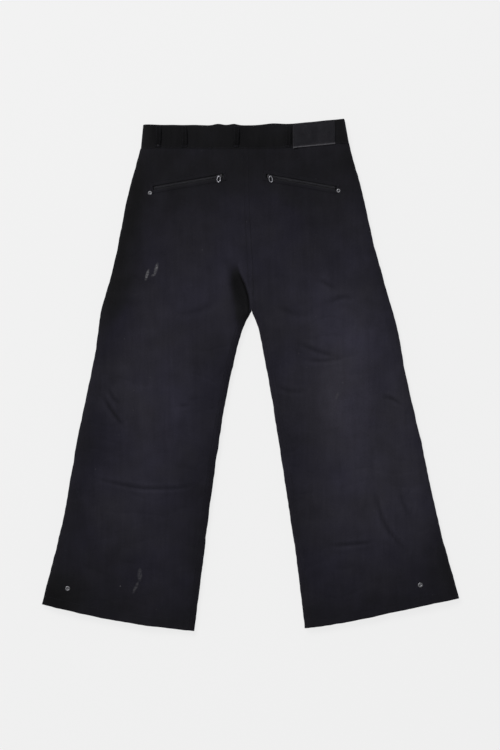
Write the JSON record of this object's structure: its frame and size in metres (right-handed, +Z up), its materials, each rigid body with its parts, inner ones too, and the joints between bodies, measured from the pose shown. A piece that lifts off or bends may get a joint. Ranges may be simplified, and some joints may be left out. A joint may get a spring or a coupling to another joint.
{
  "type": "ski pants",
  "caption": "Loose straight-cut dark ski pants laid flat, back up, with zipped back pockets with ring pulls, belt loops, a blank waist patch, a snap-and-zip fly, hem snaps and inner gaiters.",
  "frame": {"origin": "under the middle of the pants, on the surface they lie on", "axes": "+Z up through the back of the pants, +Y to the waist, +X to the right as the back is seen"},
  "size_m": [0.8736, 1.0734, 0.0314],
  "materials": {
    "shell": "matt peached twill, near black with a faint violet cast",
    "lining": "smooth woven lining",
    "zip_tape": "woven tape with a moulded coil",
    "elastic": "ribbed knitted elastic",
    "patch": "worn satin hide, blank",
    "metal": "antique silver"
  },
  "bodies": {
    "garment": {"back_panel_left": "shell", "back_panel_right": "shell", "back_pocket_bag_left": "lining", "back_pocket_bag_right": "lining", "back_pocket_burr_left": "metal", "back_pocket_burr_right": "metal", "back_pocket_rivet_left": "metal", "back_pocket_rivet_right": "metal", "back_pocket_zip_left": "zip_tape", "back_pocket_zip_right": "zip_tape", "belt_loop_back_centre": "shell", "belt_loop_back_left": "shell", "belt_loop_back_right": "shell", "belt_loop_front_left": "shell", "belt_loop_front_right": "shell", "belt_loop_side_left": "shell", "belt_loop_side_right": "shell", "fly_shield": "lining", "fly_zip": "zip_tape", "front_panel_left": "shell", "front_panel_right": "shell", "gaiter_elastic_left": "elastic", "gaiter_elastic_right": "elastic", "gaiter_left": "lining", "gaiter_right": "lining", "hand_pocket_bag_left": "lining", "hand_pocket_bag_right": "lining", "hem_snap_cap_left": "metal", "hem_snap_cap_right": "metal", "hem_snap_stud_left": "metal", "hem_snap_stud_right": "metal", "lace_hook_left": "metal", "lace_hook_right": "metal", "waist_patch": "patch", "waist_snap_stud": "metal", "waistband_back": "shell", "waistband_front_left": "shell", "waistband_front_right": "shell", "waistband_underlap": "lining"},
    "back_pocket_slider_left": {"back_pocket_slider_left": "metal"},
    "back_pocket_pull_left": {"back_pocket_pull_left": "metal"},
    "back_pocket_slider_right": {"back_pocket_slider_right": "metal"},
    "back_pocket_pull_right": {"back_pocket_pull_right": "metal"},
    "fly_slider": {"fly_slider": "metal", "fly_pull": "metal"},
    "waist_tab": {"waist_tab": "shell", "waist_snap_cap": "metal", "waist_snap_socket": "metal"},
    "hem_tab_left": {"hem_tab_left": "lining", "hem_snap_socket_left": "metal"},
    "hem_tab_right": {"hem_tab_right": "lining", "hem_snap_socket_right": "metal"}
  },
  "joints": [
    {"name": "back_pocket_zip_left", "type": "slide", "parent": "garment", "child": "back_pocket_slider_left", "axis": [-0.9848, -0.1736, 0], "range_m": [0, 0.125]},
    {"name": "back_pocket_pull_left", "type": "hinge", "parent": "back_pocket_slider_left", "child": "back_pocket_pull_left", "pos_m": [-0.0651, 0.4149, 0.0275], "axis": [-1, 0, 0], "range_deg": [0, 155]},
    {"name": "back_pocket_zip_right", "type": "slide", "parent": "garment", "child": "back_pocket_slider_right", "axis": [0.9848, -0.1736, 0], "range_m": [0, 0.125]},
    {"name": "back_pocket_pull_right", "type": "hinge", "parent": "back_pocket_slider_right", "child": "back_pocket_pull_right", "pos_m": [0.041, 0.4148, 0.0275], "axis": [-1, 0, 0], "range_deg": [0, 155]},
    {"name": "fly_zip", "type": "slide", "parent": "garment", "child": "fly_slider", "axis": [0, -1, 0], "range_m": [0, 0.13]},
    {"name": "waist_tab", "type": "hinge", "parent": "garment", "child": "waist_tab", "pos_m": [-0.028, 0.4956, 0.00315], "axis": [0, 1, 0], "range_deg": [0, 105]},
    {"name": "hem_tab_left", "type": "hinge", "parent": "garment", "child": "hem_tab_left", "pos_m": [-0.3822, -0.4062, 0.0168], "axis": [1, 0, 0], "range_deg": [0, 14]},
    {"name": "hem_tab_right", "type": "hinge", "parent": "garment", "child": "hem_tab_right", "pos_m": [0.3549, -0.3989, 0.0168], "axis": [1, 0, 0], "range_deg": [0, 14]}
  ]
}
